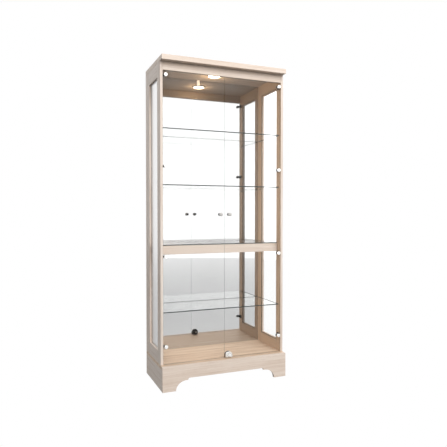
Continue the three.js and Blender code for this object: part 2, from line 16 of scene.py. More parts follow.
import bmesh
import bpy
import numpy as np
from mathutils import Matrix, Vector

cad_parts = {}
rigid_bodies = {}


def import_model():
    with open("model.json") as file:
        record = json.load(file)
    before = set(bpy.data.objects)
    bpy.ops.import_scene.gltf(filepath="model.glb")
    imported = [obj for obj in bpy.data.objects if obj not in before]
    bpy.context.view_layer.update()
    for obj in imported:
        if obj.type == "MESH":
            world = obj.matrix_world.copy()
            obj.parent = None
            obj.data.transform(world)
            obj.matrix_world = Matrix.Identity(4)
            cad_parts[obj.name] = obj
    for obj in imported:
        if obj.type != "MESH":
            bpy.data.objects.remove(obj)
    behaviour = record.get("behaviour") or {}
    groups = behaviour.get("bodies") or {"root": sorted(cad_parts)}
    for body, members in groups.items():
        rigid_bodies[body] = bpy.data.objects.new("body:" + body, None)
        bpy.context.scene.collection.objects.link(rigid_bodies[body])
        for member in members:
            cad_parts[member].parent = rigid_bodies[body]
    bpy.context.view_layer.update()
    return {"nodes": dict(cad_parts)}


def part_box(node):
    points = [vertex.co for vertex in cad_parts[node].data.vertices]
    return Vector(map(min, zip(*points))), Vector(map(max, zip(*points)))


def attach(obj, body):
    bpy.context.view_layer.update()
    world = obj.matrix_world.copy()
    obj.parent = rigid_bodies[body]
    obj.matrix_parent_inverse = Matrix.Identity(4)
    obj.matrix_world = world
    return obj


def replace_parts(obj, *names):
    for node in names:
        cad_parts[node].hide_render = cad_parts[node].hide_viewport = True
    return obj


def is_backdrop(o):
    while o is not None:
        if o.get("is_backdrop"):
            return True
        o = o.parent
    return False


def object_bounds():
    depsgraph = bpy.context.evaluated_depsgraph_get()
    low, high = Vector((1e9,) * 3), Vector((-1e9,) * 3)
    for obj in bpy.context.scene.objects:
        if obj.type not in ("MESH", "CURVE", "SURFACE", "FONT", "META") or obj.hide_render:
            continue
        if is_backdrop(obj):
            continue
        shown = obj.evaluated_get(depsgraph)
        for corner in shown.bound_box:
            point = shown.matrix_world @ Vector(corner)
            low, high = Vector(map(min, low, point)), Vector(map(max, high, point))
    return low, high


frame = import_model()
nodes = frame["nodes"]
MM = 0.001


# %% [markdown]
# ## Camera
#
# The camera stands three metres in front of the case and a good metre to its left, at about the
# height of its middle. It looks almost level, so upright edges stay nearly upright.

# %% Place the camera
LENS_MM, SENSOR_MM = 39.86, 36
CAMERA_PLACE = (-1.16909, -3.00333, 1.05291)
LOOK_DOWN, LOOK_RIGHT = 1.1462, 22.2198
camera_data = bpy.data.cameras.new("camera")
camera_data.lens, camera_data.sensor_width = LENS_MM, SENSOR_MM
camera = bpy.data.objects.new("camera", camera_data)
camera.location = CAMERA_PLACE
camera.rotation_euler = (math.radians(90 - LOOK_DOWN), 0, math.radians(-LOOK_RIGHT))
bpy.context.scene.collection.objects.link(camera)
bpy.context.scene.camera = camera
print("camera:", LENS_MM, "mm lens, turned", LOOK_RIGHT, "degrees right and", LOOK_DOWN, "down")


# %% [markdown]
# ## Helpers for materials
#
# A material is a small graph of nodes. These helpers make a node, set its sockets by name and
# link others to it, so that each finish below reads as a short recipe.

# %% Node helpers
def add_node(tree, kind, settings=None, **sockets):
    """Adds a node, sets its own options, then gives each named socket a value or a link.

    A key such as _0 gives a socket by its number, where names are missing or repeated."""
    node = tree.nodes.new("ShaderNode" + kind)
    for key, value in (settings or {}).items():
        setattr(node, key, value)
    for key, value in sockets.items():
        name = key.replace("_", " ")
        socket = node.inputs[name] if name in node.inputs else node.inputs[int(key[1:])]
        if isinstance(value, bpy.types.NodeSocket):
            tree.links.new(value, socket)
        else:
            socket.default_value = value
    return node


def ramp(tree, factor, stops):
    """A colour ramp: each stop is a place from 0 to 1 and a colour."""
    node = add_node(tree, "ValToRGB", Fac=factor)
    elements = node.color_ramp.elements
    for element, (place, colour) in zip(elements, (stops[0], stops[-1])):
        element.position, element.color = place, (*colour, 1)
    for place, colour in stops[1:-1]:
        elements.new(place).color = (*colour, 1)
    return node.outputs["Color"]


def maths(tree, operation, first, second=0.0):
    """One step of arithmetic on values."""
    return add_node(tree, "Math", {"operation": operation}, _0=first, _1=second).outputs[0]


def mix_colours(tree, factor, first, second, blend="MIX"):
    """Mixes two colours. They go in at sockets 6 and 7 of a Mix node, and come out at 2."""
    settings = {"data_type": "RGBA", "blend_type": blend}
    return add_node(tree, "Mix", settings, _0=factor, _6=first, _7=second).outputs[2]


def mix_values(tree, factor, first, second):
    """Mixes two values. They go in at sockets 2 and 3 of a Mix node, and come out at 0."""
    return add_node(tree, "Mix", {"data_type": "FLOAT"}, _0=factor, _2=first, _3=second).outputs[0]


def new_material(name):
    """An empty material: its tree and its output node."""
    material = bpy.data.materials.new(name)
    material.use_nodes = True
    tree = material.node_tree
    tree.nodes.clear()
    return material, tree, tree.nodes.new("ShaderNodeOutputMaterial")


def new_group(name, inputs, outputs):
    """An empty node group with named sockets: its tree, its input node and its output node."""
    tree = bpy.data.node_groups.new(name, "ShaderNodeTree")
    for socket_name, kind, default in inputs:
        socket = tree.interface.new_socket(socket_name, in_out="INPUT", socket_type="NodeSocket" + kind)
        if default is not None:
            socket.default_value = default
    for socket_name, kind in outputs:
        tree.interface.new_socket(socket_name, in_out="OUTPUT", socket_type="NodeSocket" + kind)
    return tree, tree.nodes.new("NodeGroupInput"), tree.nodes.new("NodeGroupOutput")


def place_group(tree, group, **sockets):
    """Puts a node group into a material."""
    return add_node(tree, "Group", {"node_tree": group}, **sockets)


# %% [markdown]
# ## Limed oak
#
# The boards are a pale oak: a pinkish beige with long soft streaks and short dark pores. Both
# follow the length of the board, so the group reads coordinates whose X runs along the board,
# and stretches its noises many times along it. One group serves six materials, which differ in
# the way the board lies, in warmth and in contrast.

# %% The oak grain group
BROAD_STRETCH, BROAD_SHARE = (0.8, 26, 26), 0.22
STREAK_STRETCH, STREAK_SHARE = (2.4, 110, 110), 0.48
FINE_STRETCH, FINE_SHARE = (7, 330, 330), 0.30
PORE_STRETCH, PORE_STARTS, PORE_FULL, PORE_DARKNESS = (28, 900, 900), 0.60, 0.74, 0.35
MIDDLE_TONE = 0.5
WOOD_TONES = [
    (0.36, (0.560, 0.440, 0.355)),
    (0.46, (0.690, 0.585, 0.505)),
    (0.54, (0.750, 0.655, 0.580)),
    (0.64, (0.820, 0.745, 0.685)),
]
WARM_TINT = (0.96, 0.81, 0.63, 1)
PORE_COLOUR = (0.36, 0.26, 0.19, 1)


def make_oak_grain():
    """Bands, streaks, fine lines and pores: four noises, squeezed across the board.

    Tone = middle + contrast * (the shares of bands, streaks and fine lines, summed - middle)."""
    tree, given, result = new_group(
        "oak_grain",
        [("Along", "Vector", None), ("Warmth", "Float", 0.0), ("Contrast", "Float", 1.0)],
        [("Color", "Color"), ("Roughness", "Float"), ("Height", "Float")],
    )

    def noise(stretch, detail, roughness, distortion=0.0):
        place = add_node(tree, "Mapping", Vector=given.outputs["Along"], Scale=stretch).outputs[0]
        return add_node(tree, "TexNoise", Vector=place, Scale=1.0, Detail=detail,
                        Roughness=roughness, Distortion=distortion).outputs["Fac"]

    broad = noise(BROAD_STRETCH, 2.0, 0.5, 0.2)
    streak = noise(STREAK_STRETCH, 3.0, 0.6, 0.3)
    fine = noise(FINE_STRETCH, 2.0, 0.6)
    pore = noise(PORE_STRETCH, 1.0, 0.5)
    tone = maths(tree, "MULTIPLY", broad, BROAD_SHARE)
    tone = maths(tree, "ADD", tone, maths(tree, "MULTIPLY", streak, STREAK_SHARE))
    tone = maths(tree, "ADD", tone, maths(tree, "MULTIPLY", fine, FINE_SHARE))
    tone = maths(tree, "SUBTRACT", tone, MIDDLE_TONE)
    tone = maths(tree, "MULTIPLY", tone, given.outputs["Contrast"])
    tone = maths(tree, "ADD", tone, MIDDLE_TONE)
    wood = ramp(tree, tone, WOOD_TONES)
    wood = mix_colours(tree, given.outputs["Warmth"], wood, WARM_TINT, "MULTIPLY")
    pores = add_node(tree, "MapRange", Value=pore, From_Min=PORE_STARTS, From_Max=PORE_FULL).outputs[0]
    wood = mix_colours(tree, maths(tree, "MULTIPLY", pores, PORE_DARKNESS), wood, PORE_COLOUR)
    tree.links.new(wood, result.inputs["Color"])
    rough = add_node(tree, "MapRange", Value=streak, To_Min=0.42, To_Max=0.62).outputs[0]
    tree.links.new(rough, result.inputs["Roughness"])
    height = maths(tree, "SUBTRACT", maths(tree, "MULTIPLY", streak, 0.6), pores)
    tree.links.new(height, result.inputs["Height"])
    return tree


OAK_GRAIN = make_oak_grain()
print("the oak group has", len(OAK_GRAIN.nodes), "nodes")


# %% [markdown]
# A Mapping node turns the object's coordinates until X runs along the board. Each of the six
# materials has its own offset, so neighbouring boards don't show one continuous pattern. The
# boards across the front are the calmest, and the floor board has the strongest streaks. The
# faces that look into the case get warmer copies of the oak: painted warm bounce light, for light
# thrown on them by other wood.

# %% Oak along each direction
def make_oak(name, turn, offset, warmth=0.0, contrast=1.0):
    """Oak whose grain runs along X, or along the axis that the turn brings onto X."""
    material, tree, output = new_material(name)
    place = add_node(tree, "TexCoord").outputs["Object"]
    along = add_node(tree, "Mapping", Vector=place, Rotation=turn, Location=offset).outputs[0]
    grain = place_group(tree, OAK_GRAIN, Along=along, Warmth=warmth, Contrast=contrast)
    bump = add_node(tree, "Bump", Strength=0.25, Distance=0.0003, Height=grain.outputs["Height"])
    shader = add_node(tree, "BsdfPrincipled", Base_Color=grain.outputs["Color"],
                      Roughness=grain.outputs["Roughness"], Normal=bump.outputs[0])
    shader.inputs["Specular IOR Level"].default_value = 0.35
    tree.links.new(shader.outputs[0], output.inputs["Surface"])
    return material


QUARTER = math.pi / 2
NO_TURN, UPRIGHT_TURN, DEEP_TURN = (0, 0, 0), (0, QUARTER, 0), (0, 0, QUARTER)
OAK_ACROSS = make_oak("oak_across", NO_TURN, (0.3, 0.0, 0.0), 0.15, 0.75)
OAK_UPRIGHT = make_oak("oak_upright", UPRIGHT_TURN, (0.0, 0.7, 0.2))
OAK_DEEP = make_oak("oak_deep", DEEP_TURN, (0.1, 0.4, 0.0))
OAK_FLOOR = make_oak("oak_floor", NO_TURN, (0.9, 0.3, 0.0), 0.75, 1.8)
# The two warmer copies below are painted warm bounce light, for the faces that look into the case.
OAK_UPRIGHT_PAINTED_BOUNCE = make_oak("oak_upright_painted_bounce", UPRIGHT_TURN, (0.5, 0.2, 0.6), 0.8)
OAK_DEEP_PAINTED_BOUNCE = make_oak("oak_deep_painted_bounce", DEEP_TURN, (0.6, 0.9, 0.3), 0.8)
print("oak finishes:", [material.name for material in (
    OAK_ACROSS, OAK_UPRIGHT, OAK_DEEP, OAK_FLOOR, OAK_UPRIGHT_PAINTED_BOUNCE, OAK_DEEP_PAINTED_BOUNCE)])


# %% [markdown]
# ## Clear glass
#
# To the eye, a sheet refracts so little that what lies behind it doesn't shift, and a thin coat
# on it mirrors the room. Rays from lamps and rays of soft bounced light go straight through a
# tinted Transparent shader, because refracted light would be slow and noisy. The side panes
# turn to a satin grey mirror where they're seen almost edge on. The middle shelf has a grey
# tint, which is painted shade for the greyer look of a sheet seen at a grazing angle.

# %% Clear glass
THIN_SHEET_IOR = 1.02
LET_THROUGH = (0.98, 0.98, 0.98, 1)
SATIN_STARTS, SATIN_FULL, SATIN_ROUGHNESS = 0.66, 0.74, 0.3


def make_clear_glass(name, tint, coat, satin=None):
    """Clear to the eye and to rays of light, with a coat that mirrors the room.

    Where satin is given, the sheet turns to a satin mirror of that colour as it's seen edge on."""
    material, tree, output = new_material(name)
    surface = add_node(tree, "BsdfPrincipled", Base_Color=(*tint, 1), Roughness=0.0, IOR=THIN_SHEET_IOR)
    surface.inputs["Transmission Weight"].default_value = 1.0
    surface.inputs["Coat Weight"].default_value = coat
    surface.inputs["Coat Roughness"].default_value = 0.0
    surface = surface.outputs[0]
    if satin is not None:
        facing = add_node(tree, "LayerWeight", Blend=0.5).outputs["Facing"]
        edge_on = add_node(tree, "MapRange", Value=facing, From_Min=SATIN_STARTS,
                           From_Max=SATIN_FULL).outputs[0]
        gloss = add_node(tree, "BsdfGlossy", Color=(*satin, 1), Roughness=SATIN_ROUGHNESS)
        surface = add_node(tree, "MixShader", _0=edge_on, _1=surface, _2=gloss.outputs[0]).outputs[0]
    clear = add_node(tree, "BsdfTransparent", Color=LET_THROUGH)
    path = add_node(tree, "LightPath")
    lamp_or_bounce = maths(tree, "MAXIMUM", path.outputs["Is Shadow Ray"], path.outputs["Is Diffuse Ray"])
    both = add_node(tree, "MixShader", _0=lamp_or_bounce, _1=surface, _2=clear.outputs[0])
    tree.links.new(both.outputs[0], output.inputs["Surface"])
    return material


DOOR_GLASS = make_clear_glass("door_glass", (1.0, 1.0, 1.0), 0.2)
PANE_GLASS = make_clear_glass("pane_glass", (0.995, 1.0, 0.998), 0.2, (0.52, 0.52, 0.52))
SHELF_GLASS = make_clear_glass("shelf_glass", (0.99, 1.0, 0.995), 0.3)
# A grey tint as painted shade: the middle shelf, seen at a grazing angle, looks greyer.
PAINTED_SHADE_SHELF_GLASS = make_clear_glass("smoky_shelf_glass", (0.78, 0.78, 0.78), 0.2)
PALE_EDGE = make_clear_glass("pale_door_edge", (0.48, 0.52, 0.50), 0.0)
print("clear glass:", [material.name for material in (
    DOOR_GLASS, PANE_GLASS, SHELF_GLASS, PAINTED_SHADE_SHELF_GLASS, PALE_EDGE)])


# %% [markdown]
# ## Edges and mirror
#
# Light is caught inside a sheet at its ground edge, so the edge looks dark grey-green. A
# shelf's front edge is dark from outside, and clear for a ray that meets it from inside the
# sheet. The mirror gives back a little under six tenths of the light.

# %% Ground edges and the mirror
EDGE_DARK, EDGE_LIGHT = (0.020, 0.028, 0.027), (0.06, 0.08, 0.075)
EDGE_CLEAR = (0.97, 0.98, 0.975, 1)
MIRROR_DARK, MIRROR_LIGHT = (0.57, 0.572, 0.572), (0.595, 0.598, 0.598)


def make_ground_edge(name, clear_from_inside):
    """A satin edge: dark grey-green, with fine grinding marks.

    Where asked, it's clear when it's looked at through the sheet, from its inner side."""
    material, tree, output = new_material(name)
    place = add_node(tree, "TexCoord").outputs["Object"]
    marks = add_node(tree, "TexNoise", Vector=place, Scale=900.0, Detail=2.0).outputs["Fac"]
    colour = ramp(tree, marks, [(0.3, EDGE_DARK), (0.7, EDGE_LIGHT)])
    rough = add_node(tree, "MapRange", Value=marks, To_Min=0.18, To_Max=0.38).outputs[0]
    shader = add_node(tree, "BsdfPrincipled", Base_Color=colour, Roughness=rough)
    shader.inputs["Specular IOR Level"].default_value = 0.15
    surface = shader.outputs[0]
    if clear_from_inside:
        clear = add_node(tree, "BsdfTransparent", Color=EDGE_CLEAR)
        inside = add_node(tree, "NewGeometry").outputs["Backfacing"]
        surface = add_node(tree, "MixShader", _0=inside, _1=surface, _2=clear.outputs[0]).outputs[0]
    tree.links.new(surface, output.inputs["Surface"])
    return material


def make_mirror():
    """Silvered glass: a metal with no roughness, and a faint cloudiness in its colour."""
    material, tree, output = new_material("silvered_mirror")
    place = add_node(tree, "TexCoord").outputs["Object"]
    cloud = add_node(tree, "TexNoise", Vector=place, Scale=2.5, Detail=2.0).outputs["Fac"]
    colour = ramp(tree, cloud, [(0.3, MIRROR_DARK), (0.7, MIRROR_LIGHT)])
    shader = add_node(tree, "BsdfPrincipled", Base_Color=colour, Metallic=1.0, Roughness=0.0)
    tree.links.new(shader.outputs[0], output.inputs["Surface"])
    return material


GROUND_EDGE = make_ground_edge("ground_glass_edge", False)
FRONT_EDGE = make_ground_edge("polished_front_edge", True)
MIRROR = make_mirror()
print("edges and mirror:", [material.name for material in (GROUND_EDGE, FRONT_EDGE, MIRROR)])


# %% [markdown]
# ## Metals and plastics
#
# Hinge covers are bright plated, the lock is satin nickel and the knobs are a darker nickel.
# Everything behind the glass is lacquered black, and the lamp's ring is white plastic. One
# group gives them all fine handling marks: a cloudy smear in the roughness and short
# scratches in the height.

# %% The handling marks group
def make_handling_marks():
    """Smears are a soft noise; scratches are a fine noise stretched one way."""
    tree, given, result = new_group(
        "handling_marks",
        [("Rough Low", "Float", 0.1), ("Rough High", "Float", 0.3)],
        [("Roughness", "Float"), ("Height", "Float"), ("Mask", "Float")],
    )
    place = add_node(tree, "TexCoord").outputs["Object"]
    smear = add_node(tree, "TexNoise", Vector=place, Scale=160.0, Detail=3.0).outputs["Fac"]
    stretched = add_node(tree, "Mapping", Vector=place, Scale=(900, 900, 5000)).outputs[0]
    scratch = add_node(tree, "TexNoise", Vector=stretched, Scale=1.0, Detail=2.0).outputs["Fac"]
    rough = add_node(tree, "MapRange", Value=smear, From_Min=0.35, From_Max=0.65,
                     To_Min=given.outputs["Rough Low"], To_Max=given.outputs["Rough High"]).outputs[0]
    tree.links.new(rough, result.inputs["Roughness"])
    tree.links.new(scratch, result.inputs["Height"])
    tree.links.new(smear, result.inputs["Mask"])
    return tree


HANDLING_MARKS = make_handling_marks()
print("the handling marks group has", len(HANDLING_MARKS.nodes), "nodes")


# %% Metals and plastics
def make_fitting(name, dark, light, metallic, rough_low, rough_high, bump_strength):
    """A metal or plastic whose colour, roughness and surface all vary a little."""
    material, tree, output = new_material(name)
    marks = place_group(tree, HANDLING_MARKS, Rough_Low=rough_low, Rough_High=rough_high)
    colour = ramp(tree, marks.outputs["Mask"], [(0.3, dark), (0.7, light)])
    bump = add_node(tree, "Bump", Strength=bump_strength, Distance=0.0001,
                    Height=marks.outputs["Height"])
    shader = add_node(tree, "BsdfPrincipled", Base_Color=colour, Metallic=metallic,
                      Roughness=marks.outputs["Roughness"], Normal=bump.outputs[0])
    tree.links.new(shader.outputs[0], output.inputs["Surface"])
    return material


METAL, NOT_METAL = 1.0, 0.0
BRIGHT_METAL = make_fitting("bright_plating", (0.86, 0.86, 0.86), (0.94, 0.94, 0.93),
                            METAL, 0.06, 0.16, 0.1)
DARK_NICKEL = make_fitting("dark_satin_nickel", (0.40, 0.39, 0.375), (0.50, 0.49, 0.47),
                           METAL, 0.26, 0.38, 0.3)
NICKEL = make_fitting("satin_nickel", (0.66, 0.64, 0.61), (0.76, 0.74, 0.71),
                      METAL, 0.20, 0.34, 0.3)
BLACK_METAL = make_fitting("black_lacquer", (0.012, 0.011, 0.010), (0.03, 0.028, 0.026),
                           NOT_METAL, 0.30, 0.50, 0.4)
WHITE_PLASTIC = make_fitting("white_plastic", (0.84, 0.83, 0.80), (0.90, 0.89, 0.86),
                             NOT_METAL, 0.35, 0.50, 0.3)
print("fittings:", [material.name for material in (
    BRIGHT_METAL, DARK_NICKEL, NICKEL, BLACK_METAL, WHITE_PLASTIC)])


# %% [markdown]
# ## Hardboard and lit plastic
#
# The back panel is plain hardboard: brown, matt, with the felted fibres that show on its face.
# The lamp's lens glows strongly. The cover over its lead is no lamp, but it glows a little too:
# that glow is painted light, which makes it show bright white beside the lamp.

# %% Hardboard and lit plastic
FIBRE_SHARE, BLOTCH_SHARE = 0.6, 0.4
BOARD_DARK, BOARD_LIGHT = (0.30, 0.20, 0.13), (0.44, 0.32, 0.22)
GLOW_WARM, GLOW_PALE = (1.0, 0.86, 0.66), (1.0, 0.90, 0.74)


def make_hardboard():
    """Fine fibres and large blotches, mixed into one tone. The fibres also stand up a little."""
    material, tree, output = new_material("hardboard")
    place = add_node(tree, "TexCoord").outputs["Object"]
    fibre = add_node(tree, "TexNoise", Vector=place, Scale=420.0, Detail=4.0, Distortion=1.5).outputs["Fac"]
    blotch = add_node(tree, "TexNoise", Vector=place, Scale=6.0, Detail=2.0).outputs["Fac"]
    fibre_part = maths(tree, "MULTIPLY", fibre, FIBRE_SHARE)
    tone = maths(tree, "ADD", fibre_part, maths(tree, "MULTIPLY", blotch, BLOTCH_SHARE))
    colour = ramp(tree, tone, [(0.35, BOARD_DARK), (0.65, BOARD_LIGHT)])
    bump = add_node(tree, "Bump", Strength=0.4, Distance=0.0002, Height=fibre)
    shader = add_node(tree, "BsdfPrincipled", Base_Color=colour, Roughness=0.8, Normal=bump.outputs[0])
    tree.links.new(shader.outputs[0], output.inputs["Surface"])
    return material


def make_lit_plastic(name, strength):
    """Opal plastic that glows warm white, a little unevenly."""
    material, tree, output = new_material(name)
    place = add_node(tree, "TexCoord").outputs["Object"]
    grain = add_node(tree, "TexNoise", Vector=place, Scale=300.0).outputs["Fac"]
    colour = ramp(tree, grain, [(0.3, GLOW_WARM), (0.7, GLOW_PALE)])
    shader = add_node(tree, "BsdfPrincipled", Base_Color=(0.9, 0.88, 0.84, 1), Roughness=0.35)
    tree.links.new(colour, shader.inputs["Emission Color"])
    shader.inputs["Emission Strength"].default_value = strength
    tree.links.new(shader.outputs[0], output.inputs["Surface"])
    return material


HARDBOARD = make_hardboard()
LAMP_LENS = make_lit_plastic("lit_opal_lens", 6.0)
# The lead cover's glow is painted light; the cover is no lamp.
LEAD_COVER_PAINTED_GLOW = make_lit_plastic("lead_cover_painted_glow", 0.45)
print("other finishes:", [material.name for material in (HARDBOARD, LAMP_LENS, LEAD_COVER_PAINTED_GLOW)])


# %% [markdown]
# ## Finishes on the CAD nodes
#
# Each board gets the oak that runs along its length, and each fitting that isn't made again
# gets its metal or plastic.

# %% Paint the boards and fittings
SIDES = (("left", -1), ("right", 1))
HINGE_NUMBERS = (1, 2, 3, 4)


def paint(node_name, material):
    """One finish for the whole node."""
    mesh = nodes[node_name].data
    mesh.materials.clear()
    mesh.materials.append(material)


for node_name in ("cornice", "frieze_rail", "base_front", "base_back", "middle_rail",
                  "back_rail_top", "back_rail_bottom"):
    paint(node_name, OAK_ACROSS)
paint("case_floor", OAK_FLOOR)
for side, _ in SIDES:
    paint(f"base_{side}", OAK_DEEP)
    paint(f"middle_cleat_{side}", OAK_DEEP)
    for number in HINGE_NUMBERS:
        paint(f"{side}_hinge_bracket_{number}", BLACK_METAL)
paint("back_panel", HARDBOARD)
paint("mirror", MIRROR)
paint("lock_cylinder", BRIGHT_METAL)
paint("lock_cam", BLACK_METAL)
paint("lock_strike", BLACK_METAL)
paint("lamp_lead_cover", LEAD_COVER_PAINTED_GLOW)
print("the case floor is", nodes["case_floor"].data.materials[0].name)


# %% [markdown]
# A sheet of glass has more than one finish: its two big faces are clear, and the narrow faces
# round it are ground, polished or pale. The side frames are oak outside, and on the faces that
# look into the case they get the warmer oak, which is painted warm bounce light. So each face is
# painted by the way it looks.

# %% Paint faces by the way they look
X_AXIS, Y_AXIS, Z_AXIS = 0, 1, 2
LOOKS_THAT_WAY = 0.9


def paint_faces(node_name, first, *others):
    """The first finish goes on every face, and each other one on the faces that look its way.

    Each other finish comes with an axis and a sign: 1 or -1 for one way, 0 for both. A face
    looks that way where its normal's part along the axis, times the sign, is over 0.9."""
    mesh = nodes[node_name].data
    mesh.materials.clear()
    mesh.materials.append(first)
    normals = np.zeros(len(mesh.polygons) * 3, np.float32)
    mesh.polygons.foreach_get("normal", normals)
    normals = normals.reshape(-1, 3)
    index = np.zeros(len(normals), np.int32)
    for number, (finish, axis, sign) in enumerate(others, 1):
        mesh.materials.append(finish)
        toward = normals[:, axis] * sign if sign else np.abs(normals[:, axis])
        index[toward > LOOKS_THAT_WAY] = number
    mesh.polygons.foreach_set("material_index", index)
    mesh.update()


for side, sign in SIDES:
    paint_faces(f"{side}_pane", GROUND_EDGE, (PANE_GLASS, X_AXIS, 0))
    paint_faces(f"{side}_door_glass", DOOR_GLASS, (PALE_EDGE, X_AXIS, 0), (GROUND_EDGE, Z_AXIS, 0))
    # Faces that look into the case get the warmer copy of the oak: painted warm bounce light.
    for member in ("front_stile", "back_stile"):
        paint_faces(f"{side}_{member}", OAK_UPRIGHT, (OAK_UPRIGHT_PAINTED_BOUNCE, X_AXIS, -sign))
    for member in ("top_rail", "bottom_rail"):
        paint_faces(f"{side}_{member}", OAK_DEEP, (OAK_DEEP_PAINTED_BOUNCE, X_AXIS, -sign))
LOOSE_SHELVES = ("lower_shelf", "upper_shelf", "top_shelf")
# The middle shelf gets the grey tint, which is painted shade.
SHELF_FINISHES = {**dict.fromkeys(LOOSE_SHELVES, SHELF_GLASS), "middle_shelf": PAINTED_SHADE_SHELF_GLASS}
for shelf, glass in SHELF_FINISHES.items():
    paint_faces(shelf, GROUND_EDGE, (glass, Z_AXIS, 0), (glass, Y_AXIS, 1), (FRONT_EDGE, Y_AXIS, -1))
print("shelves:", {shelf: glass.name for shelf, glass in SHELF_FINISHES.items()})


# %% [markdown]
# ## Turned pieces
#
# Knobs, hinge covers, nuts, screws, pins and the lamp are all turned: a profile of radius and
# distance, spun about a line. The surface is a grid of two parameters, the place along the
# profile and the angle round the line, and its two ends close on the line.

# %% A turned surface
SMOOTH_ANGLE = 35
AXES = {
    "x": ((0, 1, 0), (0, 0, 1), (1, 0, 0)),
    "y": ((1, 0, 0), (0, 0, 1), (0, 1, 0)),
    "z": ((1, 0, 0), (0, 1, 0), (0, 0, 1)),
}


def mesh_object(name, points, faces, material):
    """A mesh whose normals point out, with soft shading except at sharp edges."""
    mesh = bpy.data.meshes.new(name)
    mesh.from_pydata(points.tolist(), [], faces)
    mesh.validate()
    mesh.materials.append(material)
    work = bpy.data.objects.new(name, mesh)
    bpy.context.scene.collection.objects.link(work)
    grid = bmesh.new()
    grid.from_mesh(mesh)
    bmesh.ops.recalc_face_normals(grid, faces=grid.faces)
    grid.to_mesh(mesh)
    grid.free()
    mesh.shade_smooth()
    mesh.set_sharp_from_angle(angle=math.radians(SMOOTH_ANGLE))
    return work


def ring_quads(count, size):
    """Quads between neighbouring rings, then the numbers 0 to size - 1 and their followers.

    Quad (i, j) joins points j and j + 1 of ring i to the same two points of ring i + 1."""
    step = np.arange(size)
    following = (step + 1) % size
    first = (np.arange(count - 1) * size)[:, None]
    quads = np.stack([first + step, first + following, first + size + following,
                      first + size + step], -1).reshape(-1, 4)
    return quads.tolist(), step, following


def turned(name, profile, centre, axis, material, segments=48):
    """Spins a profile of (radius, distance) pairs about the axis through centre.

    Ring i, step j lies at centre + distance_i * axis + radius_i * (cos a_j * u + sin a_j * v).
    The first and last radius are 0, and each of those ends is one point."""
    profile = np.asarray(profile, float) * MM
    u, v, w = (np.array(direction, float) for direction in AXES[axis])
    angle = np.arange(segments) * 2 * math.pi / segments
    around = np.cos(angle)[:, None] * u + np.sin(angle)[:, None] * v
    rings = profile[1:-1, 0][:, None, None] * around + profile[1:-1, 1][:, None, None] * w
    count = len(rings)
    ends = np.array([profile[0, 1] * w, profile[-1, 1] * w])
    points = np.concatenate([rings.reshape(-1, 3), ends]) + np.array(centre, float)
    quads, step, following = ring_quads(count, segments)
    start, finish, last = count * segments, count * segments + 1, (count - 1) * segments
    fan_start = np.stack([np.full(segments, start), following, step], -1)
    fan_finish = np.stack([np.full(segments, finish), last + step, last + following], -1)
    return mesh_object(name, points, quads + fan_start.tolist() + fan_finish.tolist(), material)


def arc(centre_radius, centre_distance, radius, start, end, steps=8):
    """Points of a round stretch of a profile, from one angle to another, in degrees."""
    angle = np.radians(np.linspace(start, end, steps))
    return list(zip(centre_radius + radius * np.cos(angle), centre_distance + radius * np.sin(angle)))


def middle_of(node_name):
    """The middle of a node's box."""
    low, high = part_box(node_name)
    return (low + high) / 2


def count_made(word):
    """How many objects have this word in their names."""
    return sum(word in thing.name for thing in bpy.data.objects)


# %% [markdown]
# ## Knobs
#
# A knob is a small nickel mushroom: a crowned head, a thin neck and a foot that sits on the
# glass. Its screw goes through the glass into a nut on the inside, which is lacquered black.
# Distances in the profile run back from the front of the glass, so the head is negative.

# %% Make the knobs and their nuts
door_low, door_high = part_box("left_door_glass")
DOOR_FRONT, DOOR_BACK = door_low.y, door_high.y
GLASS = (DOOR_BACK - DOOR_FRONT) / MM

KNOB_PROFILE = [
    (0, -25), (2.5, -24.9), (5, -24.4), (7.4, -23.4), (9.2, -22),
    *arc(8.8, -19, 2.2, -55, 75, 9),
    (7.6, -15.6), (5.6, -14.4), (4.6, -12.6), (4.3, -10), (4.4, -7), (4.9, -4.6),
    *arc(5.4, -2.1, 1.6, -80, 0, 6),
    (7, -0.35), (2.5, -0.3), (2.5, GLASS + 4), (0, GLASS + 4),
]
NUT_PROFILE = [
    (0, GLASS + 4.6), (2.8, GLASS + 4.6), (2.8, GLASS + 0.3), (8.8, GLASS + 0.3),
    *arc(8.2, GLASS + 1.1, 0.8, -60, 0, 4), *arc(7.5, GLASS + 4.8, 1.5, 0, 80, 7),
    (4.0, GLASS + 6.2), (0, GLASS + 6.3),
]
for side, _ in SIDES:
    spot = middle_of(f"{side}_knob_nut")
    centre = (spot.x, DOOR_FRONT, spot.z)
    knob = turned(f"{side}_turned_knob", KNOB_PROFILE, centre, "y", DARK_NICKEL, 64)
    nut = turned(f"{side}_cap_nut", NUT_PROFILE, centre, "y", BLACK_METAL, 48)
    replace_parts(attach(knob, f"{side}_door"), f"{side}_knob")
    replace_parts(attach(nut, f"{side}_door"), f"{side}_knob_nut")
print("knobs stand", -KNOB_PROFILE[0][1], "mm in front of the glass")


# %% [markdown]
# ## Rounded blocks
#
# The cup of a hinge is a block with soft corners. The outline is a superellipse, which is a
# rectangle whose corners are rounded by one exponent, and it is carried through the thickness
# along a profile that pulls in at the two ends.

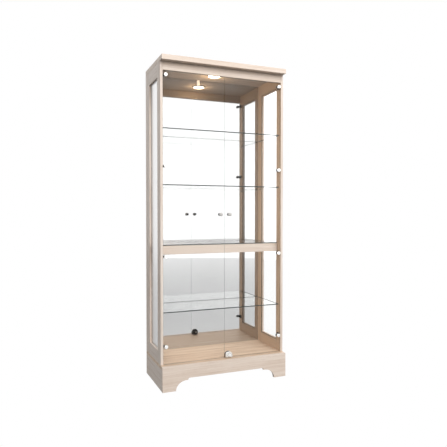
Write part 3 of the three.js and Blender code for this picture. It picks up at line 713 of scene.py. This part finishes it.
# %% A block with soft corners
def swept_outline(name, outline, profile, centre, material):
    """Carries a closed outline in X and Z along Y.

    Ring i is the outline moved inwards by inset_i, at distance_i: each outline point has an
    inward direction, so point = centre + outline + inset * inward + distance * Y."""
    outline = np.asarray(outline, float)
    before, after = np.roll(outline, 1, 0), np.roll(outline, -1, 0)
    along = after - before
    along /= np.linalg.norm(along, axis=1)[:, None]
    inward = np.stack([-along[:, 1], along[:, 0]], -1)
    profile = np.asarray(profile, float)
    flat = outline[None] + profile[:, 0][:, None, None] * inward[None]
    count, size = len(profile), len(outline)
    points = np.zeros((count, size, 3))
    points[:, :, 0], points[:, :, 2] = flat[:, :, 0], flat[:, :, 1]
    points[:, :, 1] = profile[:, 1][:, None]
    points = points.reshape(-1, 3) * MM + np.array(centre, float)
    quads, step, _ = ring_quads(count, size)
    ends = [step.tolist()[::-1], (step + (count - 1) * size).tolist()]
    return mesh_object(name, points, quads + ends, material)


def superellipse(half_width, half_height, power=6.0, steps=48):
    """x = a * sign(cos t) * |cos t|^(2/n) and z = b * sign(sin t) * |sin t|^(2/n)."""
    angle = np.arange(steps) * 2 * math.pi / steps
    cos, sin = np.cos(angle), np.sin(angle)
    x = half_width * np.sign(cos) * np.abs(cos) ** (2 / power)
    z = half_height * np.sign(sin) * np.abs(sin) ** (2 / power)
    return np.stack([x, z], -1)


def eased(front, back, ease=0.8, steps=5):
    """A thickness profile of (inset, distance) pairs, with both edges rounded by a quarter circle."""
    angle = np.linspace(0, math.pi / 2, steps)
    start = np.stack([ease * (1 - np.sin(angle)), front + ease * (1 - np.cos(angle))], -1)
    end = np.stack([ease * (1 - np.cos(angle)), back - ease * (1 - np.sin(angle))], -1)
    return np.concatenate([start, end])


# %% [markdown]
# ## Hinges
#
# Each door hangs on four small hinges for glass. From outside only a bright round cover shows.
# Behind the glass is a black cup, and the arm of a bracket on the side frame reaches towards
# it. Two screws with rounded heads hold each bracket.

# %% Make the hinges
COVER_PROFILE = [
    (0, -13), (7.5, -12.95), *arc(8.6, -10.6, 2.4, -90, 0, 9),
    (11, -0.9), *arc(10.4, -0.9, 0.6, 0, 90, 4), (5, -0.3), (5, GLASS + 1.2), (0, GLASS + 1.2),
]
SCREW_PROFILE = [
    (0, 0), (2.6, 0), (2.6, 0.2), *arc(1.0, 0.2, 1.6, 0, 80, 6), (0.9, 1.75), (0.7, 1.0), (0, 1.0),
]
CUP_HALF_WIDTH, CUP_HALF_HEIGHT = 11, 7
CUP_FRONT, CUP_BACK = GLASS + 1.3, GLASS + 8.3
BRACKET_THICKNESS, SCREW_FROM_BACK, SCREW_FROM_MIDDLE = 4 * MM, 5 * MM, 7 * MM


def facing_inwards(profile, sign):
    """A profile for the X axis whose distances run from a side frame towards the middle."""
    return [(radius, -sign * distance) for radius, distance in profile]


for side, sign in SIDES:
    for number in HINGE_NUMBERS:
        node_name = f"{side}_hinge_cap_{number}"
        spot = middle_of(node_name)
        centre = (spot.x, DOOR_FRONT, spot.z)
        cover = turned(f"{side}_hinge_cover_{number}", COVER_PROFILE, centre, "y", BRIGHT_METAL, 64)
        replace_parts(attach(cover, f"{side}_door"), node_name)
        cup = swept_outline(f"{side}_hinge_cup_{number}", superellipse(CUP_HALF_WIDTH, CUP_HALF_HEIGHT),
                            eased(CUP_FRONT, CUP_BACK), centre, BLACK_METAL)
        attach(cup, f"{side}_door")
        low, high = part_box(f"{side}_hinge_bracket_{number}")
        plate_face = (low.x + BRACKET_THICKNESS) if sign < 0 else (high.x - BRACKET_THICKNESS)
        for place, way in (("upper", 1), ("lower", -1)):
            head_spot = (plate_face, high.y - SCREW_FROM_BACK, spot.z + way * SCREW_FROM_MIDDLE)
            head = turned(f"{side}_bracket_screw_{number}_{place}", facing_inwards(SCREW_PROFILE, sign),
                          head_spot, "x", BLACK_METAL, 24)
            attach(head, "cabinet")
print("hinge covers:", count_made("hinge_cover"), "bracket screws:", count_made("bracket_screw"))


# %% [markdown]
# ## Lock
#
# The lock clamps onto the lower corner of the right door: a nickel casting with a flat foot and
# a half-round top, a black plate behind the glass, and a cylinder for a small key with a bright
# ring round it. The outline is walked once, a straight foot and a half circle, and then carried
# along Y. Two screws hold the plate from behind.

# %% Make the lock
lock_low, lock_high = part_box("lock_body")
plate_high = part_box("lock_back_plate")[1]
LOCK_HALF = (lock_high.x - lock_low.x) / 2 / MM
LOCK_CENTRE = ((lock_low.x + lock_high.x) / 2, DOOR_FRONT, lock_high.z - LOCK_HALF * MM)
LOCK_FOOT = (lock_high.z - lock_low.z) / MM - LOCK_HALF
LOCK_DEPTH = (DOOR_FRONT - lock_low.y) / MM
LOCK_CORNER = 2.0
FIT_GAP = 0.3
CASTING_EASE, PLATE_EASE, PLATE_THICKNESS = 1.6, 1.2, 6
ROSETTE_PROUD = 0.05 * MM
# A screw's name, its distance to the right of the lock's middle, and its height over the foot.
SCREW_PLACES = (("left", -4.5, 16), ("top", 16.5, 16))


def lock_outline():
    """Counter-clockwise: along the foot with two rounded corners, then over the half circle."""
    def corner_arc(x, z, start):
        angle = np.radians(np.linspace(start, start + 90, 6))
        return np.stack([x + LOCK_CORNER * np.cos(angle), z + LOCK_CORNER * np.sin(angle)], -1)

    foot = np.linspace(-LOCK_HALF + 2 * LOCK_CORNER, LOCK_HALF - 2 * LOCK_CORNER, 12)
    foot = np.stack([foot, np.full(12, -LOCK_FOOT)], -1)
    top = np.radians(np.linspace(0, 180, 48))
    top = LOCK_HALF * np.stack([np.cos(top), np.sin(top)], -1)
    left = corner_arc(-LOCK_HALF + LOCK_CORNER, -LOCK_FOOT + LOCK_CORNER, 180)
    right = corner_arc(LOCK_HALF - LOCK_CORNER, -LOCK_FOOT + LOCK_CORNER, 270)
    return np.concatenate([left, foot, right, top])


casting = swept_outline("lock_casting", lock_outline(), eased(-LOCK_DEPTH, -FIT_GAP, CASTING_EASE, 7),
                        LOCK_CENTRE, NICKEL)
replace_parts(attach(casting, "right_door"), "lock_body")
plate_profile = eased(GLASS + FIT_GAP, GLASS + FIT_GAP + PLATE_THICKNESS, PLATE_EASE)
back_plate = swept_outline("lock_clamp_plate", lock_outline(), plate_profile, LOCK_CENTRE, BLACK_METAL)
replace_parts(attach(back_plate, "right_door"), "lock_back_plate")

cylinder_middle = middle_of("lock_cylinder")
ROSETTE_PROFILE = [
    (0, 0.2), (6.6, 0.2), *arc(7.4, -0.3, 0.9, 60, -60, 6), (6.35, -0.9), (6.3, 0.1), (0, 0.15),
]
rosette_spot = (cylinder_middle.x, lock_low.y + ROSETTE_PROUD, cylinder_middle.z)
rosette = turned("lock_rosette", ROSETTE_PROFILE, rosette_spot, "y", BRIGHT_METAL, 48)
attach(rosette, "right_door")
for place, across, above in SCREW_PLACES:
    head_spot = (LOCK_CENTRE[0] + across * MM, plate_high.y, lock_low.z + above * MM)
    head = turned(f"lock_plate_screw_{place}", SCREW_PROFILE, head_spot, "y", NICKEL, 24)
    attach(head, "right_door")
print("lock is", round(2 * LOCK_HALF, 1), "mm wide and", round(LOCK_FOOT + LOCK_HALF, 1), "mm tall")


# %% [markdown]
# ## Shelf pins
#
# Each loose shelf lies on four nickel pins, which are pushed into holes in the stiles. A pin is
# a short peg with a collar that stops it at the face of the board.

# %% Make the shelf pins
PIN_PROFILE = [(0, 0), (4.2, 0), *arc(3.7, 1.0, 0.5, 0, 80, 4), (2.5, 1.6), (2.5, 7.2),
               *arc(1.7, 7.2, 0.8, 0, 80, 4), (0, 8)]
PIN_RADIUS = 2.5 * MM
FRONT_PIN_SETBACK, BACK_PIN_SETBACK = 45 * MM, 30 * MM
frame_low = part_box("right_front_stile")[0]
for shelf in LOOSE_SHELVES:
    shelf_low, shelf_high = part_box(shelf)
    rows = {"front": frame_low.y + FRONT_PIN_SETBACK, "back": shelf_high.y - BACK_PIN_SETBACK}
    for side, sign in SIDES:
        for row, y in rows.items():
            pin = turned(f"{shelf}_pin_{side}_{row}", facing_inwards(PIN_PROFILE, sign),
                         (sign * frame_low.x, y, shelf_low.z - PIN_RADIUS), "x", NICKEL, 24)
            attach(pin, "cabinet")
print("shelf pins:", count_made("_pin_"))


# %% [markdown]
# ## Ceiling lamp
#
# A flat round lamp hangs just under the ceiling: a white ring with a rolled rim, and an opal
# lens inside it. The lens glows, and a small warm glow under it lights the ceiling.

# %% Make the lamp
lamp_low, lamp_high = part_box("lamp_housing")
lamp = (lamp_low + lamp_high) / 2
DROP = (lamp_high.z - lamp_low.z) / MM
LAMP_RADIUS = (lamp_high.x - lamp_low.x) / 2 / MM
LAMP_PROFILE = [
    (0, 0), (LAMP_RADIUS, 0), (LAMP_RADIUS, -DROP + 2.5),
    *arc(LAMP_RADIUS - 2, -DROP + 2, 2, 0, -90, 7),
    *arc(LAMP_RADIUS - 2.6, -DROP + 1.4, 1.4, -90, -180, 5),
    (LAMP_RADIUS - 4, -DROP + 3.2), (0, -DROP + 3.2),
]
ring = turned("lamp_ring", LAMP_PROFILE, (lamp.x, lamp.y, lamp_high.z), "z", WHITE_PLASTIC, 96)
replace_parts(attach(ring, "cabinet"), "lamp_housing")
lens_low, lens_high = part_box("lamp_lens")
LENS_DEPTH = (lens_high.z - lens_low.z) / MM
LENS_RADIUS = (lens_high.x - lens_low.x) / 2 / MM
LENS_PROFILE = [
    (0, LENS_DEPTH), (LENS_RADIUS, LENS_DEPTH), (LENS_RADIUS, 1.2),
    *arc(LENS_RADIUS - 0.7, 1.0, 0.7, 0, -80, 4), (22, 0.15), (11, 0.04), (0, 0),
]
lens = turned("lamp_opal_lens", LENS_PROFILE, (lamp.x, lamp.y, lens_low.z), "z", LAMP_LENS, 96)
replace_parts(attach(lens, "cabinet"), "lamp_lens")
print("the lamp is", round(2 * LAMP_RADIUS, 1), "mm across and", round(DROP, 1), "mm deep")


# %% [markdown]
# ## Floor
#
# The floor is a plain pale disc. Seen straight or through glass, it's white. In the mirror it's
# greyer, and darkest a little in front of the case, as a studio floor is where its light falls
# off. For soft bounced light it's weaker, so the undersides of boards stay in shade.

# %% The floor
FLOOR_SOFT_LIGHT = 0.15
FLOOR_RADIUS = 8.2
FLOOR_HEIGHT = -0.0005
MIRRORED_NEAR, MIRRORED_FAR = 0.92, 1.32
FLOOR_SPREAD = 6.0
DARKEST_Y = -1.6


def is_looked_at(tree, path):
    """1 on a path from the eye through glass and mirrors, and 0 once it has met a matt surface."""
    looked = maths(tree, "MAXIMUM", path.outputs["Is Camera Ray"], path.outputs["Is Glossy Ray"])
    looked = maths(tree, "MAXIMUM", looked, path.outputs["Is Transmission Ray"])
    return maths(tree, "MULTIPLY", looked, maths(tree, "LESS_THAN", path.outputs["Diffuse Depth"], 0.5))


def make_floor():
    """White to the eye, weaker as a source of light, and greyer near the case in the mirror."""
    material, tree, output = new_material("studio_floor")
    place = add_node(tree, "TexCoord").outputs["Object"]
    from_front = add_node(tree, "VectorMath", {"operation": "DISTANCE"}, _0=place, _1=(0, DARKEST_Y, 0))
    mirrored = add_node(tree, "MapRange", Value=from_front.outputs["Value"], From_Max=FLOOR_SPREAD,
                        To_Min=MIRRORED_NEAR, To_Max=MIRRORED_FAR).outputs[0]
    path = add_node(tree, "LightPath")
    in_mirror = maths(tree, "MINIMUM", path.outputs["Glossy Depth"], 1.0)
    seen = mix_values(tree, in_mirror, 1.0, mirrored)
    strength = mix_values(tree, is_looked_at(tree, path), FLOOR_SOFT_LIGHT, seen)
    glow = add_node(tree, "Emission", Color=(1, 1, 1, 1), Strength=strength)
    tree.links.new(glow.outputs[0], output.inputs["Surface"])
    return material


def disc(name, radius, height, material, rings=12, segments=96):
    """Rings at equal steps of radius round the Z axis, each point at (r cos a, r sin a)."""
    r = np.linspace(0, radius, rings + 1)[1:]
    a = np.arange(segments) * 2 * math.pi / segments
    x = r[:, None] * np.cos(a)
    y = r[:, None] * np.sin(a)
    points = np.stack([x, y, np.full_like(x, height)], -1).reshape(-1, 3)
    points = np.concatenate([points, [[0, 0, height]]])
    step = np.arange(segments)
    following = (step + 1) % segments
    first = (np.arange(rings - 1) * segments)[:, None]
    quads = np.stack([first + step, first + segments + step, first + segments + following,
                      first + following], -1).reshape(-1, 4)
    fan = np.stack([np.full(segments, rings * segments), step, following], -1)
    mesh = bpy.data.meshes.new(name)
    mesh.from_pydata(points.tolist(), [], quads.tolist() + fan.tolist())
    mesh.materials.append(material)
    thing = bpy.data.objects.new(name, mesh)
    bpy.context.scene.collection.objects.link(thing)
    return thing


floor = disc("studio_floor", FLOOR_RADIUS, FLOOR_HEIGHT, make_floor())
floor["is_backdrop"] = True
print("the floor is", 2 * FLOOR_RADIUS, "m across, with", len(floor.data.polygons), "faces")


# %% [markdown]
# ## Surroundings and lamps
#
# The surroundings are white to the eye and brighter behind glass, so that they're still white in
# a mirror that gives back little more than half of the light. The main light is a large soft
# panel in front, high and a little to the right, so the fronts are bright and the left side is
# in shade. A narrow, weak, warm panel inside the case stands for light off its own wood, and it
# falls on the right side frame. A warm glow hangs under the lamp.

# %% Surroundings
def make_surroundings(straight, through_glass, soft_light):
    """White to the eye, brighter still behind glass, and weaker as a source of soft light."""
    world = bpy.data.worlds.new("white_surroundings")
    world.use_nodes = True
    tree = world.node_tree
    tree.nodes.clear()
    path = add_node(tree, "LightPath")
    seen = mix_values(tree, path.outputs["Is Camera Ray"], through_glass, straight)
    strength = mix_values(tree, is_looked_at(tree, path), soft_light, seen)
    background = add_node(tree, "Background", Color=(1, 1, 1, 1), Strength=strength)
    tree.links.new(background.outputs[0], tree.nodes.new("ShaderNodeOutputWorld").inputs[0])
    bpy.context.scene.world = world


make_surroundings(straight=1.0, through_glass=1.85, soft_light=0.45)
print("surroundings:", bpy.context.scene.world.name)


# %% [markdown]
# A light is never seen itself: not by the camera, not in glass and not in metal. Only what it
# lights is seen.

# %% Lamps
MAIN_PLACE, MAIN_TARGET, MAIN_SIZE, MAIN_WATTS = (0.9, -6.0, 5.2), (0, 0, 0.9), 6.5, 640
FILL_PLACE, FILL_TARGET, FILL_COLOUR = (-0.36, 0.03, 1.05), (0.4, 0.03, 1.05), (1.0, 0.84, 0.68)
FILL_WIDTH, FILL_HEIGHT, FILL_WATTS = 0.12, 1.4, 2.4
GLOW_COLOUR, GLOW_RADIUS, GLOW_DROP, GLOW_WATTS = (1.0, 0.72, 0.42), 0.02, 0.03, 0.5


def add_light(name, kind, place, watts, colour):
    """An unseen light of one kind at a place."""
    data = bpy.data.lights.new(name, kind)
    data.energy, data.color = watts, colour
    thing = bpy.data.objects.new(name, data)
    thing.location = place
    thing.visible_glossy = thing.visible_transmission = thing.visible_camera = False
    bpy.context.scene.collection.objects.link(thing)
    return thing


def soft_panel(name, place, target, size, watts, colour=(1, 1, 1)):
    """A square panel that shines at the target.

    Its tilt is the angle between straight down and the way to the target, and its turn about Z
    is that way's bearing."""
    thing = add_light(name, "AREA", place, watts, colour)
    thing.data.size = size
    aim = np.array(target) - np.array(place)
    thing.rotation_euler = (math.atan2(math.hypot(aim[0], aim[1]), -aim[2]), 0,
                            math.atan2(-aim[0], aim[1]))
    return thing


soft_panel("main_panel", MAIN_PLACE, MAIN_TARGET, MAIN_SIZE, MAIN_WATTS)
inner_fill = soft_panel("inner_fill", FILL_PLACE, FILL_TARGET, FILL_WIDTH, FILL_WATTS, FILL_COLOUR)
inner_fill.data.shape, inner_fill.data.size_y = "RECTANGLE", FILL_HEIGHT
glow_place = (lamp.x, lamp.y, lamp_low.z - GLOW_DROP)
add_light("lamp_glow", "POINT", glow_place, GLOW_WATTS, GLOW_COLOUR).data.shadow_soft_size = GLOW_RADIUS
bpy.context.scene.view_settings.view_transform = "Standard"
print("lights:", [light.name for light in bpy.data.lights])


# %% Find the box round the object
low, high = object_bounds()
